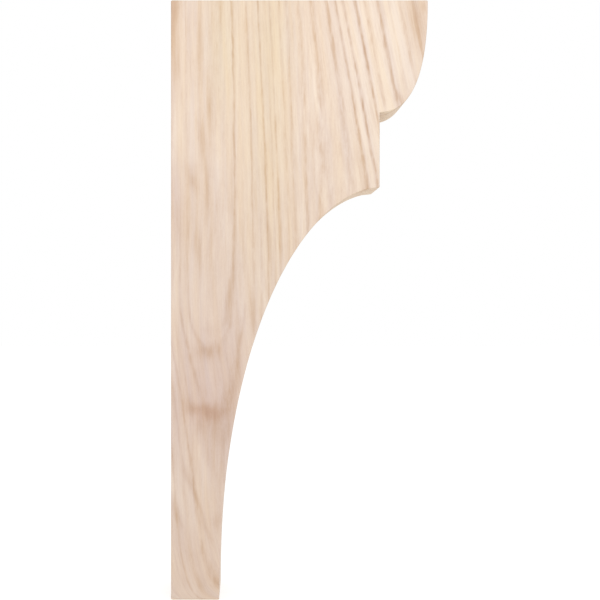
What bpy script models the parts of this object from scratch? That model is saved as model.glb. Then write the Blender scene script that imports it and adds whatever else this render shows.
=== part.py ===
"""A timber corbel bracket, sawn in one piece from a thick board.

It stands off a wall along +X. Its outline lies in the XZ plane, and the board's thickness
runs along Y. The origin is the middle of the back face, which lies flat on the wall.
"""

import bmesh
import bpy
from mathutils import Vector
from mathutils.geometry import interpolate_bezier

# Driving dimensions, in metres
INCH = 0.0254
PROJECTION = 12 * INCH  # wall to the front of the nose
HEIGHT = 28 * INCH  # top face to the foot's underside
THICKNESS = 3.5 * INCH  # the board's thickness
NOSE_HEIGHT = 5.25 * INCH  # top face down to the notch
NOSE_OVERHANG = 2.25 * INCH  # how far the nose stands out past the block
BLOCK_HEIGHT = 3.5 * INCH  # the square front of the block, below the notch
FOOT_DEPTH = 2.25 * INCH  # wall to the front edge of the foot
NOSE_LEDGE = 0.0104  # nearly flat run under the nose, out from the notch
COVE_LEDGE = 0.0127  # nearly flat run under the block, in towards the wall
LEDGE_FALL = 0.0014  # how far each ledge falls towards the wall
ARRIS = 0.0012  # width of the eased edges

# How far each curve follows its end directions, as shares of its own run and rise
NOSE_FRONT_PULL = 0.515  # straight down the front, of the nose's rise
NOSE_UNDER_RUN = 0.754  # out along the underside, of the nose's run
NOSE_UNDER_RISE = 0.0675  # and up, of its rise
COVE_TOP_RUN = 0.493  # back under the block, of the cove's run
COVE_TOP_FALL = 0.0416  # and down, of its rise
COVE_FOOT_PULL = 0.605  # straight up from the foot, of the cove's rise

# How finely the round stretches are drawn
NOSE_STEPS = 18
COVE_STEPS = 44
ARRIS_STEPS = 2

# Clear softwood, planed and unfinished
WOOD_COLOUR = (0.76, 0.59, 0.46, 1.0)
WOOD_ROUGHNESS = 0.62

TOP = HEIGHT / 2
BOTTOM = -HEIGHT / 2
NOTCH_Z = TOP - NOSE_HEIGHT
BLOCK_FRONT = PROJECTION - NOSE_OVERHANG
BLOCK_BOTTOM = NOTCH_Z - BLOCK_HEIGHT
SAME = 1e-6  # points closer than this are one


def curve(start, start_handle, end_handle, end, steps):
    """Points of one smooth stretch of the outline, both ends included."""
    knots = [Vector((x, 0.0, z)) for x, z in (start, start_handle, end_handle, end)]
    return [(point.x, point.z) for point in interpolate_bezier(*knots, steps + 1)]


def nose():
    """The rounded front, from the top edge down and under to its ledge."""
    start = (PROJECTION, TOP)
    end = (BLOCK_FRONT + NOSE_LEDGE, NOTCH_Z + LEDGE_FALL)
    run = start[0] - end[0]
    rise = start[1] - end[1]
    front_handle = (start[0], start[1] - NOSE_FRONT_PULL * rise)
    under_handle = (end[0] + NOSE_UNDER_RUN * run, end[1] + NOSE_UNDER_RISE * rise)
    return curve(start, front_handle, under_handle, end, NOSE_STEPS)


def cove():
    """The long hollow, from the ledge under the block down to the foot."""
    start = (BLOCK_FRONT - COVE_LEDGE, BLOCK_BOTTOM - LEDGE_FALL)
    end = (FOOT_DEPTH, BOTTOM)
    run = start[0] - end[0]
    rise = start[1] - end[1]
    top_handle = (start[0] - COVE_TOP_RUN * run, start[1] - COVE_TOP_FALL * rise)
    foot_handle = (end[0], end[1] + COVE_FOOT_PULL * rise)
    return curve(start, top_handle, foot_handle, end, COVE_STEPS)


def outline():
    """The bracket's side view, clockwise from the top of the wall face."""
    corners = [(0.0, TOP)]
    corners += nose()
    corners += [(BLOCK_FRONT, NOTCH_Z), (BLOCK_FRONT, BLOCK_BOTTOM)]
    corners += cove()
    corners += [(0.0, BOTTOM)]
    return corners


def sawn_board(points):
    """A mesh of the outline across the board's thickness, with its two sides at equal Y."""
    mesh = bmesh.new()
    near = [mesh.verts.new((x, -THICKNESS / 2, z)) for x, z in points]
    side = mesh.faces.new(near)
    across = bmesh.ops.extrude_face_region(mesh, geom=[side])
    far = [item for item in across["geom"] if isinstance(item, bmesh.types.BMVert)]
    bmesh.ops.translate(mesh, verts=far, vec=(0.0, THICKNESS, 0.0))
    bmesh.ops.recalc_face_normals(mesh, faces=mesh.faces)
    return mesh


def is_notch(edge):
    """The inner corner under the nose, which the saw leaves sharp."""
    return all(
        abs(vert.co.x - BLOCK_FRONT) < SAME and abs(vert.co.z - NOTCH_Z) < SAME
        for vert in edge.verts
    )


def ease_edges(mesh):
    """Takes the sharpness off every outer corner, and leaves the curves as they are."""
    smallest_corner = 0.6  # radians; the curves' own steps turn far less
    corners = [
        edge
        for edge in mesh.edges
        if edge.calc_face_angle() > smallest_corner and not is_notch(edge)
    ]
    bmesh.ops.bevel(
        mesh,
        geom=corners,
        offset=ARRIS,
        segments=ARRIS_STEPS,
        profile=0.5,
        affect="EDGES",
        clamp_overlap=True,
    )


def wood():
    material = bpy.data.materials.new("softwood")
    material.use_nodes = True
    shader = material.node_tree.nodes["Principled BSDF"]
    shader.inputs["Base Color"].default_value = WOOD_COLOUR
    shader.inputs["Roughness"].default_value = WOOD_ROUGHNESS
    shader.inputs["Metallic"].default_value = 0.0
    return material


def corbel():
    shape = sawn_board(outline())
    ease_edges(shape)
    mesh = bpy.data.meshes.new("corbel")
    shape.to_mesh(mesh)
    shape.free()
    mesh.shade_smooth()
    mesh.set_sharp_from_angle(angle=0.35)
    mesh.materials.append(wood())
    piece = bpy.data.objects.new("corbel", mesh)
    bpy.context.scene.collection.objects.link(piece)
    return piece


def main():
    for old in list(bpy.data.objects):
        bpy.data.objects.remove(old)
    corbel()


main()
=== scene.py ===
# %% [markdown]
# This lesson dresses a timber corbel bracket: one thick softwood board, sawn to a rounded nose,
# a notch, a square block and a long hollow that ends in a narrow foot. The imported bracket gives
# every size and place, so it is loaded first and never moved.

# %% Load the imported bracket
import math

import bpy
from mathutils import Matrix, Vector


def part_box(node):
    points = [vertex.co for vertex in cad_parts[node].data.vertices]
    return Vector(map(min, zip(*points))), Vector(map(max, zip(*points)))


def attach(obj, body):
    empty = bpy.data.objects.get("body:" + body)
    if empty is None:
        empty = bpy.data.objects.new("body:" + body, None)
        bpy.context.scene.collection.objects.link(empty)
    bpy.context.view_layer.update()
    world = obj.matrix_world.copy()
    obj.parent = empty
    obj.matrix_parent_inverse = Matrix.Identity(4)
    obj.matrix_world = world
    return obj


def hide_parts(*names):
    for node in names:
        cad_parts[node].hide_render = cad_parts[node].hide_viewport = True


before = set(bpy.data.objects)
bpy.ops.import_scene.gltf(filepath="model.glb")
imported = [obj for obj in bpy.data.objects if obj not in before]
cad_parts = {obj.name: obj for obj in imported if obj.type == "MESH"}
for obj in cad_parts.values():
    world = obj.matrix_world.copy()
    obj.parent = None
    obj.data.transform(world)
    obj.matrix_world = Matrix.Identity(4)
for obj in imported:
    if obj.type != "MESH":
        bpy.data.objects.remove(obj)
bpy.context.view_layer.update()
LOW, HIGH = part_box("corbel")
HEIGHT = HIGH.z - LOW.z
THICKNESS = HIGH.y - LOW.y
print("bracket", [round(size * 1000, 1) for size in HIGH - LOW], "mm")

# %% [markdown]
# The photo looks at the sawn side square on, with the lens shifted sideways: the board's
# thickness shows only as thin slivers under the nose and along the hollow. Those slivers lead to
# one point in the picture, which says where the camera stands. Its distance follows from how
# much smaller the far side looks.

# %% Camera
PHOTO_SIDE = 600  # pixels
BACK_EDGE = 170.95  # the wall face, in pixels from the left
TOP_EDGE = 0.13  # the top face, in pixels from the top
HEIGHT_SHOWN = 599.7  # pixels
EYE_ACROSS = 246.3  # where the camera looks straight along the thickness
EYE_DOWN = 297.4
CAMERA_DISTANCE = 1.369  # metres, to the near side
SENSOR = 36.0  # millimetres

PIXEL = HEIGHT / HEIGHT_SHOWN  # metres on the near side


def in_photo(across, down):
    """The point of the near side that shows at a pixel of the photo."""
    return Vector((LOW.x + (across - BACK_EDGE) * PIXEL, LOW.y, HIGH.z - (down - TOP_EDGE) * PIXEL))


def add_camera():
    eye = in_photo(EYE_ACROSS, EYE_DOWN) - Vector((0, CAMERA_DISTANCE, 0))
    bpy.ops.object.camera_add(location=eye, rotation=(math.radians(90), 0, 0))
    camera = bpy.context.object
    half_side = PHOTO_SIDE / 2 * PIXEL
    camera.data.sensor_width = SENSOR
    camera.data.lens = SENSOR / 2 * CAMERA_DISTANCE / half_side
    camera.data.shift_x = (PHOTO_SIDE / 2 - EYE_ACROSS) / PHOTO_SIDE
    camera.data.shift_y = (EYE_DOWN - PHOTO_SIDE / 2) / PHOTO_SIDE
    bpy.context.scene.camera = camera
    print("lens", round(camera.data.lens, 1), "mm at", [round(v, 3) for v in eye])


add_camera()

# %% [markdown]
# The photo is bright and nearly without shadow, on pure white. A white sky gives that even light.
# One soft lamp above and in front of the bracket makes the upper half a little brighter, as the
# photo shows, and leaves the undersides a shade darker.

# %% Light
WHITE = (1, 1, 1, 1)
SKY_LIGHT = 1.0
LAMP_POWER = 1.0  # watts
LAMP_SIDE = 0.35
LAMP_PLACE = Vector((0.14, -0.60, 0.42))
LAMP_TARGET = Vector((0.13, 0.0, 0.28))


def add_sky():
    world = bpy.data.worlds.new("white sky")
    world.use_nodes = True
    background = world.node_tree.nodes["Background"]
    background.inputs["Color"].default_value = WHITE
    background.inputs["Strength"].default_value = SKY_LIGHT
    bpy.context.scene.world = world


def add_lamp():
    bpy.ops.object.light_add(type="AREA", location=LAMP_PLACE)
    lamp = bpy.context.object
    lamp.data.energy = LAMP_POWER
    lamp.data.shape = "SQUARE"
    lamp.data.size = LAMP_SIDE
    lamp.visible_camera = False
    lamp.rotation_euler = (LAMP_TARGET - LAMP_PLACE).to_track_quat("-Z", "Y").to_euler()
    print("lamp", round((LAMP_TARGET - LAMP_PLACE).length, 2), "m from the bracket")


bpy.context.scene.view_settings.view_transform = "Standard"
add_sky()
add_lamp()

# %% [markdown]
# The photo's white has no edge where a floor would end. A wide matt floor at the foot, which
# glows just enough to look white, gives the same ground in every view. It is part of the stage
# and not of the bracket.

# %% Floor
FLOOR_SIDE = 14.0
FLOOR_GREY = (0.50, 0.50, 0.50, 1.0)
FLOOR_ROUGH = 0.9
FLOOR_GLOW = 0.58


def add_floor():
    bpy.ops.mesh.primitive_plane_add(size=FLOOR_SIDE, location=(0, 0, LOW.z))
    floor = bpy.context.object
    floor.name = "floor"
    material = bpy.data.materials.new("pale floor")
    material.use_nodes = True
    shader = material.node_tree.nodes["Principled BSDF"]
    shader.inputs["Base Color"].default_value = FLOOR_GREY
    shader.inputs["Roughness"].default_value = FLOOR_ROUGH
    shader.inputs["Specular IOR Level"].default_value = 0.0
    shader.inputs["Emission Color"].default_value = WHITE
    shader.inputs["Emission Strength"].default_value = FLOOR_GLOW
    floor.data.materials.append(material)
    print("floor of", FLOOR_SIDE, "m")


add_floor()

# %% [markdown]
# The saw follows a drawn outline, so the bracket is drawn the same way: a closed Bezier curve
# with one knot for each corner and each end of a round stretch. A box cut by circles would miss
# the nose and the hollow, which are no circles: a knot's handle says how far the curve follows
# its direction, as a share of the stretch's own run and rise.

# %% Outline sizes
NOSE_HEIGHT = 0.13335  # top face down to the notch
NOSE_OVERHANG = 0.05715  # nose front back to the block
BLOCK_HEIGHT = 0.0889
FOOT_DEPTH = 0.05715
NOSE_LEDGE = 0.0104  # nearly flat run out from the notch
COVE_LEDGE = 0.0127  # nearly flat run in under the block
LEDGE_FALL = 0.0014
NOSE_FRONT_PULL = 0.505  # straight down the front, of the nose's rise
NOSE_UNDER_PULL = (0.754, 0.0675)  # out along the underside, of its run, and up, of its rise
COVE_TOP_PULL = (0.493, 0.0416)  # in under the block, of the cove's run, and down, of its rise
COVE_FOOT_PULL = 0.602  # straight up from the foot, of the cove's rise
CORNER = 0.0015  # radius of the outer corners
CORNER_PULL = 0.5523  # handle length that makes a quarter circle of a Bezier curve

PROJECTION = HIGH.x - LOW.x
BLOCK_FRONT = LOW.x + PROJECTION - NOSE_OVERHANG
NOTCH = HIGH.z - NOSE_HEIGHT
BLOCK_BOTTOM = NOTCH - BLOCK_HEIGHT
print("block front", round(BLOCK_FRONT * 1000, 1), "mm from the wall")


# %% Draw the outline
def corner(x, z, before, after):
    """Two knots that round a corner. before and after point from it along its two sides."""
    place, before, after = Vector((x, z)), Vector(before).normalized(), Vector(after).normalized()
    first, last = place + before * CORNER, place + after * CORNER
    return [
        (first, None, first - before * CORNER * CORNER_PULL),
        (last, last - after * CORNER * CORNER_PULL, None),
    ]


def outline_knots():
    """(knot, handle before, handle after), clockwise seen from the camera. None is straight."""
    nose_end = Vector((BLOCK_FRONT + NOSE_LEDGE, NOTCH + LEDGE_FALL))
    nose_run = HIGH.x - nose_end.x
    nose_rise = HIGH.z - nose_end.y
    nose_pull = Vector((NOSE_UNDER_PULL[0] * nose_run, NOSE_UNDER_PULL[1] * nose_rise))
    cove_top = Vector((BLOCK_FRONT - COVE_LEDGE, BLOCK_BOTTOM - LEDGE_FALL))
    cove_run = cove_top.x - LOW.x - FOOT_DEPTH
    cove_rise = cove_top.y - LOW.z
    cove_pull = Vector((COVE_TOP_PULL[0] * cove_run, COVE_TOP_PULL[1] * cove_rise))
    back_top = corner(LOW.x, HIGH.z, (0, -1), (1, 0))
    front_in, (front, front_before, _) = corner(HIGH.x, HIGH.z, (-1, 0), (0, -1))
    (toe, _, toe_after), toe_out = corner(LOW.x + FOOT_DEPTH, LOW.z, (0, 1), (-1, 0))
    return [
        *back_top,
        front_in,
        (front, front_before, front - Vector((0, NOSE_FRONT_PULL * nose_rise))),
        (nose_end, nose_end + nose_pull, None),
        (Vector((BLOCK_FRONT, NOTCH)), None, None),
        *corner(BLOCK_FRONT, BLOCK_BOTTOM, (0, 1), (-COVE_LEDGE, -LEDGE_FALL)),
        (cove_top, None, cove_top - cove_pull),
        (toe, toe + Vector((0, COVE_FOOT_PULL * cove_rise)), toe_after),
        toe_out,
        *corner(LOW.x, LOW.z, (1, 0), (0, 1)),
    ]


def draw_outline():
    bpy.ops.object.select_all(action="DESELECT")
    bpy.ops.curve.primitive_bezier_curve_add(location=(0, 0, 0))
    drawn = bpy.context.object
    knots = outline_knots()
    spline = drawn.data.splines[0]
    spline.bezier_points.add(len(knots) - len(spline.bezier_points))
    spline.use_cyclic_u = True
    for point, (knot, before, after) in zip(spline.bezier_points, knots):
        point.handle_left_type = "FREE" if before else "VECTOR"
        point.handle_right_type = "FREE" if after else "VECTOR"
        point.co = (knot.x, knot.y, 0)
        point.handle_left = (*(before or knot), 0)
        point.handle_right = (*(after or knot), 0)
    print("outline of", len(knots), "knots")
    return drawn


outline = draw_outline()

# %% [markdown]
# Filled, given the board's thickness and a tiny bevel, the curve becomes a solid with smooth
# round stretches and eased edges. It is drawn lying down, so it is stood up on the board's place
# once it is a mesh. Smooth shading below a set angle keeps the corners crisp, and weighted
# normals keep the broad sides flat right up to their eased edges.

# %% From outline to solid
ARRIS = 0.0012  # bevel round both sides
ARRIS_STEPS = 4
CURVE_STEPS = 48  # between two knots
SAME_POINT = 0.00001  # points closer than this are merged
SMOOTH_BELOW = math.radians(35)


def thicken(drawn):
    drawn.data.dimensions = "2D"
    drawn.data.fill_mode = "BOTH"
    drawn.data.resolution_u = CURVE_STEPS
    drawn.data.extrude = THICKNESS / 2 - ARRIS
    drawn.data.bevel_depth = ARRIS
    drawn.data.offset = -ARRIS
    drawn.data.bevel_resolution = ARRIS_STEPS


def make_solid(drawn):
    """Stands the drawn curve up on the board's place and turns it into one closed mesh."""
    drawn.rotation_euler = (math.radians(90), 0, 0)
    bpy.ops.object.convert(target="MESH")
    solid = bpy.context.object
    solid.name = "bracket"
    bpy.ops.object.transform_apply(location=True, rotation=True, scale=True)
    bpy.ops.object.mode_set(mode="EDIT")
    bpy.ops.mesh.select_all(action="SELECT")
    bpy.ops.mesh.remove_doubles(threshold=SAME_POINT)
    bpy.ops.mesh.normals_make_consistent(inside=False)
    bpy.ops.mesh.select_all(action="DESELECT")
    bpy.ops.mesh.select_non_manifold()
    bpy.ops.object.mode_set(mode="OBJECT")
    loose = sum(edge.select for edge in solid.data.edges)
    bpy.ops.object.shade_smooth_by_angle(angle=SMOOTH_BELOW)
    weigh = solid.modifiers.new("flat faces stay flat", "WEIGHTED_NORMAL")
    weigh.keep_sharp = True
    bpy.ops.object.modifier_apply(modifier=weigh.name)
    print(len(solid.data.polygons), "faces,", loose, "open edges")
    return solid


thicken(outline)
bracket = make_solid(outline)

# %% [markdown]
# Wood isn't painted on: its figure is where the saw meets the tree's yearly rings. So the colour
# comes from a solid tree. Every point of the board has a distance from the tree's middle, and
# that distance says which year it grew in. The sides, the hollow and the end grain then agree.
# The patterns are built from a few small node helpers. A pattern that has a meaning of its own,
# such as the bent grain or the yearly rings, becomes a node group with named sockets. Each node
# is added after the nodes that feed it, which lets a shader with many nodes run in little memory.

# %% Node helpers
SHARE = "NodeSocketFloat"
POINT = "NodeSocketVector"


def add_node(tree, kind, **settings):
    made = tree.nodes.new(kind)
    for name, value in settings.items():
        setattr(made, name, value)
    return made


def feed(target, value):
    """Links a socket to an input, or sets the input to a plain number, vector or colour."""
    if isinstance(value, bpy.types.NodeSocket):
        target.id_data.links.new(value, target)
    else:
        target.default_value = value


def feed_all(made, values):
    for target, value in zip(made.inputs, values):
        feed(target, value)


def tree_of(values):
    return next(value.id_data for value in values if isinstance(value, bpy.types.NodeSocket))


def calculate(operation, *values):
    made = add_node(tree_of(values), "ShaderNodeMath", operation=operation)
    feed_all(made, values)
    return made.outputs[0]


# %% Helpers for patterns
NOISE_SPAN = (0.3, 0.7)  # nearly all of a noise's values lie between these


def noise(place, size, detail=2.0, roughness=0.5):
    """Cloudy noise around 0.5. size is a cloud's size in metres along X, Y and Z."""
    scaled = add_node(place.id_data, "ShaderNodeVectorMath", operation="DIVIDE")
    feed_all(scaled, (place, size))
    made = add_node(place.id_data, "ShaderNodeTexNoise", noise_dimensions="3D")
    feed(made.inputs["Vector"], scaled.outputs["Vector"])
    made.inputs["Scale"].default_value = 1.0
    made.inputs["Detail"].default_value = detail
    made.inputs["Roughness"].default_value = roughness
    return made.outputs["Fac"]


def remap(value, low, high, to_low=0.0, to_high=1.0, how="SMOOTHSTEP"):
    made = add_node(value.id_data, "ShaderNodeMapRange", interpolation_type=how)
    feed(made.inputs["Value"], value)
    made.inputs["From Min"].default_value = low
    made.inputs["From Max"].default_value = high
    made.inputs["To Min"].default_value = to_low
    made.inputs["To Max"].default_value = to_high
    return made.outputs["Result"]


def swing(value, reach):
    """Noise around 0.5, turned into a number that swings about reach to both sides of 0."""
    return remap(value, *NOISE_SPAN, -reach, reach, "LINEAR")


def mix(share, first, second, kind="RGBA", blend="MIX"):
    values = (share, first, second)
    made = add_node(tree_of(values), "ShaderNodeMix", data_type=kind, blend_type=blend)
    for label, value in zip(("Factor", "A", "B"), values):
        feed(made.inputs[label], value)
    return made.outputs["Result"]


def shade(colour, factor, share=1.0):
    """Multiplies a colour by another, as far as the share says."""
    return mix(share, colour, factor, blend="MULTIPLY")


def apart(place):
    """The three numbers of a point or a direction."""
    made = add_node(place.id_data, "ShaderNodeSeparateXYZ")
    feed(made.inputs[0], place)
    return made.outputs


def together(tree, kind, values):
    """One point or colour from three numbers."""
    made = add_node(tree, kind)
    feed_all(made, values)
    return made.outputs[0]


def trace(value, points):
    """A smooth curve through (input from 0 to 1, output) points."""
    low = min(level for _, level in points)
    high = max(level for _, level in points)
    made = add_node(value.id_data, "ShaderNodeFloatCurve")
    feed(made.inputs["Value"], value)
    line = made.mapping.curves[0]
    while len(line.points) < len(points):
        line.points.new(0.5, 0.5)
    for point, (at, level) in zip(line.points, points):
        point.location = (at, (level - low) / (high - low))
    made.mapping.update()
    return calculate("MULTIPLY_ADD", made.outputs[0], high - low, low)


# %% Helpers for groups
def new_group(name, inputs, outputs):
    """An empty shader node group. inputs and outputs map socket names to their types."""
    tree = bpy.data.node_groups.new(name, "ShaderNodeTree")
    for label, kind in inputs.items():
        tree.interface.new_socket(label, in_out="INPUT", socket_type=kind)
    for label, kind in outputs.items():
        tree.interface.new_socket(label, in_out="OUTPUT", socket_type=kind)
    return tree, add_node(tree, "NodeGroupInput").outputs, add_node(tree, "NodeGroupOutput").inputs


def use_group(tree, group, *values):
    """Places a group in a tree and feeds its inputs in their order."""
    made = add_node(tree, "ShaderNodeGroup", node_tree=group)
    feed_all(made, values)
    return made.outputs


# %% [markdown]
# The board is flat-sawn: the tree's middle lay about a hand's breadth in front of the face that
# shows, and the tree widened towards the foot. Where the face just grazes a year's ring, the ring
# closes in a wide U. Away from the middle the rings cut the face as nearly straight lines, and
# the board's outer third leans. Two curves hold the middle's path from the top to the foot, and
# a little noise keeps the rings from being true circles.

# %% Bent grain
PITH_FROM_WALL = [  # share of the height from the top down, metres
    (0.0, 0.0445),
    (0.33, 0.0455),
    (0.53, 0.045),
    (0.70, 0.053),
    (0.83, 0.0535),
    (1.0, 0.091),
]
PITH_BEFORE_FACE = [  # the same share, metres in front of the near side
    (0.0, 0.112),
    (0.333, 0.1122),
    (0.50, 0.1129),
    (0.583, 0.1152),
    (0.70, 0.1178),
    (0.83, 0.1210),
    (1.0, 0.1218),
]
INNER_LEAN = 0.042  # metres sideways for each metre down
INNER_START = 0.043  # where the lean begins, in metres from the wall
INNER_FULL = 0.114
OUTER_LEAN = 0.19
OUTER_START = 0.120  # where the outer third begins at the top edge
OUTER_FULL = 0.213
WOBBLE = 0.002  # how far the rings stray from true circles, in metres
WOBBLE_CLOUDS = (0.03, 0.03, 0.16)
RAGGED = 0.0008  # and how uneven their edges are
RAGGED_CLOUDS = (0.003, 0.003, 0.035)


def bent_grain():
    """Where a point lies in the tree: the radius of its ring, and its place along the fibres."""
    outputs = {"Radius": SHARE, "Side": SHARE, "Fibre place": POINT}
    tree, given, out = new_group("bent grain", {"Place": POINT}, outputs)
    across, deep, up = apart(given["Place"])
    down = calculate("SUBTRACT", HIGH.z, up)
    share = calculate("DIVIDE", down, HEIGHT)
    pith = trace(share, PITH_FROM_WALL)
    outer_place = calculate("MULTIPLY_ADD", down, -OUTER_LEAN, across)
    outer = remap(outer_place, OUTER_START, OUTER_FULL)
    inner_lean = remap(across, INNER_START, INNER_FULL, 0.0, INNER_LEAN, "LINEAR")
    lean = mix(outer, inner_lean, OUTER_LEAN, "FLOAT")
    straight = calculate("SUBTRACT", across, calculate("MULTIPLY", down, lean))
    sideways = calculate("SUBTRACT", straight, pith)
    into_board = calculate("SUBTRACT", deep, LOW.y)
    inwards = calculate("ADD", into_board, trace(share, PITH_BEFORE_FACE))
    squared = calculate("MULTIPLY", inwards, inwards)
    radius = calculate("SQRT", calculate("MULTIPLY_ADD", sideways, sideways, squared))
    for clouds, reach in ((WOBBLE_CLOUDS, WOBBLE), (RAGGED_CLOUDS, RAGGED)):
        stray = calculate("SUBTRACT", noise(given["Place"], clouds), 0.5)
        radius = calculate("MULTIPLY_ADD", stray, reach, radius)
    feed(out["Radius"], radius)
    feed(out["Side"], sideways)
    feed(out["Fibre place"], together(tree, "ShaderNodeCombineXYZ", (sideways, deep, up)))
    return tree


BENT_GRAIN = bent_grain()
print("bent grain of", len(BENT_GRAIN.nodes), "nodes")

# %% [markdown]
# In softwood a year ends with a narrow band of dense, tan latewood, between wide bands of pale
# earlywood. The years aren't equally wide or dark, so they are listed: the pixel where
# each dark line meets the photo's top edge, and how dark the line is. The curve that counts the
# years against the radius comes from that list, and the years beyond it are equally wide.

# %% Years
YEARS = [  # across the top edge, darkness in the upper half, darkness in the lower half
    (217, 0.3, 0.1),
    (231, 1.3, 0.5),
    (239, 0.2, 0.7),
    (246, 0.9, 0.2),
    (252, 0.3, 0.8),
    (258, 1.2, 0.4),
    (265, 0.3, 0.7),
    (269.5, 0.8, 0.3),
    (279, 0.6, 0.4),
    (286, 0.7, 0.5),
    (298, 0.8, 0.6),
    (310, 1.1, 0.6),
    (326, 1.1, 0.7),
    (335, 1.7, 0.7),
    (342.5, 1.8, 0.7),
    (354.5, 1.8, 0.7),
    (364, 1.0, 0.7),
    (377, 1.6, 0.7),
    (388, 0.4, 0.6),
    (399, 0.7, 0.7),
    (412, 1.0, 0.7),
]
INNERMOST = 0.105  # the radii that the board spans, in metres
OUTERMOST = 0.345
PLAIN_YEAR = 0.012  # a year's width past the list
PLAIN_DARKNESS = (0.4, 0.9, 1.4)  # in turn
TURN = (-0.05, 0.13)  # the heights between which the lines change over, in metres
WALL_SIDE = (-0.012, 0.004, 0.35, 1.0)  # from and to here, the lines grow from faint to full
LINE = [(0.0, 0.0), (0.2, 0.1), (0.37, 0.55), (0.5, 1.0), (0.63, 0.6), (0.8, 0.1), (1.0, 0.0)]
PATCHES = [  # cloud size, and the weakest and strongest that a line becomes
    ((0.02, 0.02, 0.12), 0.75, 1.2),
    ((0.005, 0.005, 0.018), 0.6, 1.3),
]


def ring_radius(pixel):
    """How far from the tree's middle a line lies that meets the top edge at a pixel."""
    across = in_photo(pixel, TOP_EDGE).x - PITH_FROM_WALL[0][1]
    return math.hypot(across, PITH_BEFORE_FACE[0][1])


def all_years():
    """(radius, darkness above, darkness below) of every dark line, from the tree's middle out."""
    years = [(ring_radius(pixel), above, below) for pixel, above, below in YEARS]
    while years[-1][0] < OUTERMOST:
        dark = PLAIN_DARKNESS[len(years) % len(PLAIN_DARKNESS)]
        years.append((years[-1][0] + PLAIN_YEAR, dark, dark))
    return years


RADII, ABOVE, BELOW = zip(*all_years())
print(len(YEARS), "listed years and", len(RADII) - len(YEARS), "plain ones")


# %% Yearly rings
def darkness(year, levels):
    """Each year's own darkness, as a curve through one point for each year."""
    count = len(levels)
    points = [((i + 0.5) / count, level) for i, level in enumerate(levels)]
    points = [(0.0, levels[0])] + points + [(1.0, levels[-1])]
    return trace(calculate("DIVIDE", year, count), points)


def count_years(radius):
    """How many years had passed when the wood at a radius grew. A dark line lies at each half."""
    span = OUTERMOST - INNERMOST
    counted = [(0.0, 0.0)]
    counted += [((line - INNERMOST) / span, i + 0.5) for i, line in enumerate(RADII[:-1])]
    counted += [(1.0, len(RADII) - 0.5)]
    return trace(remap(radius, INNERMOST, OUTERMOST, how="LINEAR"), counted)


def growth_rings():
    inputs = {"Radius": SHARE, "Side": SHARE, "Place": POINT}
    tree, given, out = new_group("growth rings", inputs, {"Latewood": SHARE})
    year = count_years(given["Radius"])
    line = trace(calculate("FRACT", year), LINE)
    upper = remap(apart(given["Place"])[2], *TURN)
    wall_side = remap(given["Side"], *WALL_SIDE)
    above_dark = calculate("MULTIPLY", darkness(year, ABOVE), wall_side)
    dark = mix(upper, darkness(year, BELOW), above_dark, "FLOAT")
    latewood = calculate("MULTIPLY", line, dark)
    for clouds, weakest, strongest in PATCHES:
        patch = remap(noise(given["Place"], clouds), *NOISE_SPAN, weakest, strongest)
        latewood = calculate("MULTIPLY", latewood, patch)
    feed(out["Latewood"], latewood)
    return tree


GROWTH_RINGS = growth_rings()
print("growth rings of", len(GROWTH_RINGS.nodes), "nodes")

# %% [markdown]
# Between and across the rings run the wood's own fibres, as fine streaks along the grain, and
# thin brown dashes where the plane has cut a resin duct open. They follow the bent grain, so
# their noise is stretched along the fibres and not along the board.

# %% Fibres
FIBRE_KINDS = {  # cloud size in metres, detail, roughness
    "Band": ((0.011, 0.02, 0.22), 2.0, 0.5),
    "Hue": ((0.007, 0.01, 0.11), 2.0, 0.5),
    "Streak": ((0.0028, 0.0028, 0.07), 3.0, 0.6),
    "Fine streak": ((0.0011, 0.0011, 0.018), 3.0, 0.65),
    "Fleck": ((0.0011, 0.0011, 0.0035), 2.0, 0.6),
}
DUCT_CLOUDS = (0.0009, 0.0009, 0.009)
DUCT_LEVELS = (0.68, 0.8)  # only the noise's highest peaks are ducts


def fibres():
    outputs = {kind: SHARE for kind in (*FIBRE_KINDS, "Duct")}
    tree, given, out = new_group("fibres", {"Place": POINT}, outputs)
    for kind, (clouds, detail, roughness) in FIBRE_KINDS.items():
        feed(out[kind], noise(given["Place"], clouds, detail, roughness))
    feed(out["Duct"], remap(noise(given["Place"], DUCT_CLOUDS), *DUCT_LEVELS))
    return tree


FIBRES = fibres()
print("fibres of", len(FIBRES.nodes), "nodes")
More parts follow.
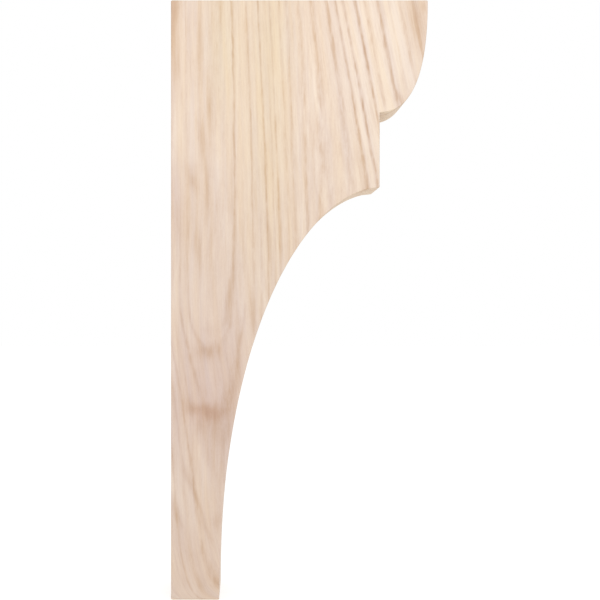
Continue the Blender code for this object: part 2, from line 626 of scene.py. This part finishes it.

# %% [markdown]
# Some places are darker or paler than the rings alone make them: the ends of the wide U shapes,
# a brown streak along the wall, a tan area in the nose. Painting them would need a picture, and
# they wouldn't reach into the board. So each is one soft spot, a leaning oval placed in
# the photo's pixels on the near side, and it fades into the thickness. A strength above 0 makes
# the wood browner and one below 0 makes it paler. A few wide spots lay a thin tint over it.

# %% Marks along the wall
WALL_MARKS = [  # across, down, half width, half length (pixels), lean, strength
    (173, 32, 5, 52, 0.02, 1.4),
    (176, 5, 5, 16, 0.0, 0.9),
    (177, 68, 4, 16, 0.0, 0.4),
    (182, 98, 1.5, 12, 0.05, 0.6),
    (181, 45, 4, 50, 0.0, -0.3),
    (189, 35, 2, 32, 0.0, 0.5),
    (177, 132, 6, 38, 0.0, -0.4),
    (200, 45, 2.5, 48, 0.0, 1.0),
    (209.5, 108, 2.2, 24, 0.02, 0.9),
    (201, 132, 4, 18, 0.0, 0.5),
    (203, 148, 4, 20, 0.05, 1.0),
    (218, 158, 4.5, 34, 0.0, -0.8),
    (207, 190, 2.5, 26, 0.03, 1.0),
    (189, 168, 8, 8, 0.2, 0.4),
    (192, 181, 5, 8, 0.2, 0.6),
    (220.5, 14, 1.5, 16, 0.0, 0.8),
    (184, 215, 16, 34, 0.0, 0.5),
    (200.5, 262, 1.5, 20, 0.0, 0.5),
    (197, 245, 4, 20, 0.03, 0.6),
    (195, 183, 4, 12, 0.1, 0.4),
    (174, 300, 4, 30, 0.0, -0.4),
    (173, 365, 4, 16, 0.0, -0.5),
]

# %% Marks in the middle
MIDDLE_MARKS = [  # as above
    (231, 190, 2.5, 42, 0.0, 0.5),
    (247, 45, 2.5, 30, 0.05, 0.4),
    (255, 195, 2.2, 45, 0.03, 0.5),
    (275, 100, 3, 26, 0.03, -0.5),
    (291, 34, 3, 22, 0.0, 0.5),
    (270, 245, 3, 28, 0.1, 0.5),
    (280.5, 240, 2, 26, 0.05, 0.7),
    (253, 315, 3, 26, 0.06, 1.0),
    (265, 304, 3.5, 20, 0.1, -0.6),
    (244, 291, 3, 24, 0.0, -0.4),
    (236, 166, 2, 22, 0.0, -0.5),
    (298, 3, 3, 8, 0.0, -0.7),
]

# %% Marks in the nose and the block
NOSE_MARKS = [  # as above
    (304, 113, 2.5, 18, 0.05, -0.6),
    (301, 222, 8, 20, 0.06, -0.4),
    (319, 109, 3, 24, 0.14, -0.9),
    (321, 180, 3.5, 28, 0.15, -1.0),
    (332, 206, 2, 16, 0.15, 0.5),
    (342, 152, 2, 16, 0.17, 0.5),
    (349, 187, 3, 22, 0.18, -0.7),
    (361, 128, 2.5, 20, 0.19, -0.7),
    (372, 110, 2, 16, 0.19, 0.6),
    (364, 191, 4, 9, 0.15, 0.7),
    (384, 15, 2.5, 18, 0.2, 0.7),
    (333, 48, 3.5, 30, 0.19, 0.5),
    (312, 130, 3, 48, 0.03, 0.5),
    (317, 72, 2.5, 16, 0.1, -0.6),
    (323, 84, 2.5, 20, 0.1, 0.6),
    (359.5, 163, 3, 20, 0.19, 0.7),
    (381, 72, 2.5, 14, 0.2, -0.5),
    (389, 50, 3, 24, 0.25, 0.5),
    (401, 100, 3.5, 11, 0.4, 1.4),
    (388, 111, 6, 7, 0.0, -0.6),
    (396, 40, 6, 45, 0.19, -0.5),
    (418, 20, 9, 36, 0.2, 1.3),
    (425, 3, 6, 12, 0.0, 0.5),
]

# %% Marks from the U shapes down to the foot, and tints
FOOT_MARKS = [  # as above
    (229, 296, 3, 22, -0.1, 1.2),
    (208, 330, 8, 7, 0.0, 0.3),
    (225, 322, 4, 8, -0.5, 0.4),
    (205, 351, 13, 8, 0.0, 0.6),
    (238, 340, 3, 15, 0.05, 0.4),
    (238, 368, 2.5, 12, 0.0, 0.7),
    (231, 391, 6, 9, -0.3, 0.2),
    (205, 385, 40, 45, 0.0, 0.25),
    (188, 403, 9, 8, 0.3, 0.4),
    (196, 409, 10, 6, -0.2, 0.8),
    (213, 414, 12, 8, 0.0, 0.6),
    (200, 426, 4, 11, 0.0, 0.8),
    (215, 430, 5, 11, 0.1, 0.6),
    (204, 401, 6, 5, 0.0, -0.4),
    (228, 431, 5, 13, -0.1, 0.7),
    (219, 444, 10, 26, 0.0, 0.7),
    (203, 462, 4, 28, 0.25, -0.5),
    (173, 484, 3, 16, 0.1, -0.8),
    (187, 476, 4, 13, 0.4, 0.6),
    (198, 503, 2.5, 18, 0.4, 0.7),
    (207, 531, 2.5, 13, 0.4, 0.6),
    (178, 516, 4.5, 20, 0.35, 0.9),
    (186, 550, 4, 16, 0.35, 0.4),
    (216, 522, 4, 9, 0.0, 0.6),
    (198, 527, 3, 12, 0.3, -0.5),
    (192, 592, 8, 10, 0.0, -0.4),
    (200, 585, 4, 9, 0.2, 0.6),
    (216, 582, 4, 6, 0.0, 0.5),
]
TINTS = [  # across, down, half width, half length (pixels), the colour laid over the wood
    (268, 90, 26, 170, (1.0, 1.0, 0.91, 1)),
    (222, 40, 18, 75, (0.99, 1.0, 0.91, 1)),
    (272, 35, 22, 50, (0.96, 0.96, 0.95, 1)),
    (205, 390, 60, 85, (0.94, 0.90, 0.93, 1)),
    (207, 412, 19, 10, (0.97, 0.92, 0.90, 1)),
    (200, 560, 60, 80, (0.98, 0.95, 0.94, 1)),
    (172, 200, 14, 40, (0.97, 0.95, 0.96, 1)),
]

MARKS = WALL_MARKS + MIDDLE_MARKS + NOSE_MARKS + FOOT_MARKS
print(len(MARKS), "marks and", len(TINTS), "tints")

# %% [markdown]
# A soft spot is a bell curve over the distance from its middle. Many spots share one node group,
# and a second group turns the place into the photo's pixels once for all of them. After that a
# spot needs only sums of plain numbers. Vector nodes take three times the room, and this many
# spots made of them would be more than a shader holds, which leaves the wood black.

# %% Soft spots
MARK_DEPTH = 0.03  # how far a mark reaches into the thickness, in metres


def bell(squared):
    """1 where a squared distance is 0, falling softly to 0 past 1."""
    return calculate("EXPONENT", calculate("MULTIPLY", squared, -1.0))


def photo_place():
    """The photo's pixel in front of a point, and how near the point is to the near side."""
    outputs = {"Across": SHARE, "Down": SHARE, "Nearness": SHARE}
    tree, given, out = new_group("photo place", {"Place": POINT}, outputs)
    across, deep, up = apart(given["Place"])
    from_wall = calculate("SUBTRACT", across, LOW.x)
    feed(out["Across"], calculate("MULTIPLY_ADD", from_wall, 1 / PIXEL, BACK_EDGE))
    from_top = calculate("SUBTRACT", HIGH.z, up)
    feed(out["Down"], calculate("MULTIPLY_ADD", from_top, 1 / PIXEL, TOP_EDGE))
    depth = calculate("DIVIDE", calculate("SUBTRACT", deep, LOW.y), MARK_DEPTH)
    feed(out["Nearness"], bell(calculate("MULTIPLY", depth, depth)))
    return tree


def soft_spot():
    """1 in the middle of a leaning oval, fading to 0 past its half width and half length."""
    names = ("Across", "Down", "Middle across", "Middle down", "Width", "Length", "Lean")
    tree, given, out = new_group("soft spot", {name: SHARE for name in names}, {"Mask": SHARE})
    along = calculate("SUBTRACT", given["Down"], given["Middle down"])
    sideways = calculate("SUBTRACT", given["Across"], given["Middle across"])
    sideways = calculate("SUBTRACT", sideways, calculate("MULTIPLY", along, given["Lean"]))
    along = calculate("DIVIDE", along, given["Length"])
    sideways = calculate("DIVIDE", sideways, given["Width"])
    squared = calculate("MULTIPLY", along, along)
    feed(out["Mask"], bell(calculate("MULTIPLY_ADD", sideways, sideways, squared)))
    return tree


PHOTO_PLACE = photo_place()
SOFT_SPOT = soft_spot()


def all_marks(tree, near):
    """The sum of all marks at a place, in steps of the tone."""
    total = 0.0
    for *shape, strength in MARKS:
        mask = use_group(tree, SOFT_SPOT, near["Across"], near["Down"], *shape)["Mask"]
        total = calculate("MULTIPLY_ADD", mask, strength, total)
    return calculate("MULTIPLY", total, near["Nearness"])


def tinted(tree, near, colour):
    """The colour with every tint laid over it."""
    for *shape, tint in TINTS:
        mask = use_group(tree, SOFT_SPOT, near["Across"], near["Down"], *shape)["Mask"]
        colour = shade(colour, tint, calculate("MULTIPLY", mask, near["Nearness"]))
    return colour


# %% [markdown]
# Where the saw cuts across the fibres, at the top, the foot and under the ledges, the open cell
# ends soak up light: the wood is a little darker there, with fine pores in place of streaks.
# How far a face turns up or down says how much end grain it shows.

# %% End grain
END_TURN = (0.15, 0.95)  # how far a face has turned up or down where end grain starts and is full
PORES = ((0.0008, 0.0008, 0.004), 3.0, 0.65)  # size, detail and roughness of their noise


def end_grain():
    inputs = {"Place": POINT, "Facing": POINT}
    tree, given, out = new_group("end grain", inputs, {"Share": SHARE, "Pores": SHARE})
    turned = calculate("ABSOLUTE", apart(given["Facing"])[2])
    feed(out["Share"], remap(turned, *END_TURN))
    feed(out["Pores"], noise(given["Place"], *PORES))
    return tree


END_GRAIN = end_grain()
print("end grain of", len(END_GRAIN.nodes), "nodes")

# %% [markdown]
# The colour comes from one number, the tone: 0 is earlywood, 1 is latewood and 2 the darkest
# brown. The latewood lines and the marks set it, clouds and fibres swing it, and the board's
# outer third is paler. The fibres also turn the colour a little yellower or pinker.

# %% Tone and colour
TONES = [  # from the palest earlywood to the darkest latewood
    (-1.0, (0.735, 0.612, 0.50, 1)),
    (0.0, (0.645, 0.508, 0.408, 1)),
    (1.0, (0.55, 0.393, 0.278, 1)),
    (2.0, (0.475, 0.305, 0.20, 1)),
]
PALER = 0.28  # how much paler the whole board is than the list's earlywood
OUTER_PALER = 0.45  # and its outer third
OUTER_RADII = (0.165, 0.20)  # from where on
CLOUDS = ((0.03, 0.03, 0.11), 3.0)  # size and detail of the broad clouds
CLOUD_REACH = 0.2  # how far each pattern swings the tone
BAND_REACH = 0.16
STREAK_REACH = 0.22
FINE_REACH = 0.2
FLECK_REACH = 0.12
FINE_GROWTH = (0.13, 0.16, 1.0, 1.6)  # between these radii, fine streaks grow this much stronger
DUCT_TONE = 0.3
YELLOW_RED = 0.015  # how far a yellow fibre raises red
YELLOW_BLUE = -0.045  # and lowers blue


def wood_tone(place, grain, fibre, late):
    fine_strength = remap(grain["Radius"], *FINE_GROWTH)
    tone = calculate("SUBTRACT", late, PALER)
    for part in (
        swing(noise(place, *CLOUDS), CLOUD_REACH),
        swing(fibre["Band"], BAND_REACH),
        swing(fibre["Streak"], STREAK_REACH),
        calculate("MULTIPLY", swing(fibre["Fine streak"], FINE_REACH), fine_strength),
        calculate("MULTIPLY", remap(grain["Radius"], *OUTER_RADII), -OUTER_PALER),
        swing(fibre["Fleck"], FLECK_REACH),
        calculate("MULTIPLY", fibre["Duct"], DUCT_TONE),
    ):
        tone = calculate("ADD", tone, part)
    return tone


def tone_colour(tone):
    """Looks a tone up in the list above."""
    low, high = TONES[0][0], TONES[-1][0]
    share = remap(tone, low, high, how="LINEAR")
    made = add_node(tone.id_data, "ShaderNodeValToRGB")
    feed(made.inputs["Fac"], share)
    steps = made.color_ramp.elements
    while len(steps) < len(TONES):
        steps.new(0.5)
    for step, (at, colour) in zip(steps, TONES):
        step.position = (at - low) / (high - low)
        step.color = colour
    return made.outputs["Color"]


def fibre_hue(tree, fibre):
    yellow = swing(fibre["Hue"], 1.0)
    red = calculate("MULTIPLY_ADD", yellow, YELLOW_RED, 1.0)
    blue = calculate("MULTIPLY_ADD", yellow, YELLOW_BLUE, 1.0)
    return together(tree, "ShaderNodeCombineColor", (red, 1.0, blue))


# %% [markdown]
# The finish brings the patterns together. Bare planed wood is matt, and a little smoother on the
# dense latewood. A faint bump lets the streaks and the lines catch the light, since a plane
# leaves them standing by a few hundredths of a millimetre.

# %% Finish
END_SHADE = (0.97, 0.95, 0.88, 1)
PORE_SHADE = (0.9, 1.1)  # the darkest and the palest pore
EARLY_ROUGH = 0.62
LATE_ROUGH = 0.52
END_ROUGH = 0.85
LINE_HEIGHT = 0.4  # the lines' height, as a share of the streaks'
BUMP_STRENGTH = 0.25
BUMP_DEPTH = 0.0003  # metres


def planed_softwood():
    material = bpy.data.materials.new("planed softwood")
    material.use_nodes = True
    tree = material.node_tree
    shader = tree.nodes["Principled BSDF"]
    surface = add_node(tree, "ShaderNodeTexCoord")
    place = surface.outputs["Object"]
    grain = use_group(tree, BENT_GRAIN, place)
    rings = use_group(tree, GROWTH_RINGS, grain["Radius"], grain["Side"], place)
    fibre = use_group(tree, FIBRES, grain["Fibre place"])
    ends = use_group(tree, END_GRAIN, place, surface.outputs["Normal"])
    near = use_group(tree, PHOTO_PLACE, place)
    late = calculate("ADD", rings["Latewood"], all_marks(tree, near))
    colour = tone_colour(wood_tone(place, grain, fibre, late))
    colour = tinted(tree, near, shade(colour, fibre_hue(tree, fibre)))
    pores = remap(ends["Pores"], *NOISE_SPAN, *PORE_SHADE, "LINEAR")
    cut = shade(shade(colour, END_SHADE), pores)
    feed(shader.inputs["Base Color"], mix(ends["Share"], colour, cut))
    planed_rough = remap(late, 0.0, 1.0, EARLY_ROUGH, LATE_ROUGH, "LINEAR")
    feed(shader.inputs["Roughness"], mix(ends["Share"], planed_rough, END_ROUGH, "FLOAT"))
    height = calculate("MULTIPLY_ADD", rings["Latewood"], LINE_HEIGHT, fibre["Fine streak"])
    bump = add_node(tree, "ShaderNodeBump")
    bump.inputs["Strength"].default_value = BUMP_STRENGTH
    bump.inputs["Distance"].default_value = BUMP_DEPTH
    feed(bump.inputs["Height"], height)
    feed(shader.inputs["Normal"], bump.outputs["Normal"])
    print("finish of", len(tree.nodes), "nodes")
    return material


bracket.data.materials.clear()
bracket.data.materials.append(planed_softwood())
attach(bracket, "root")
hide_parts("corbel")
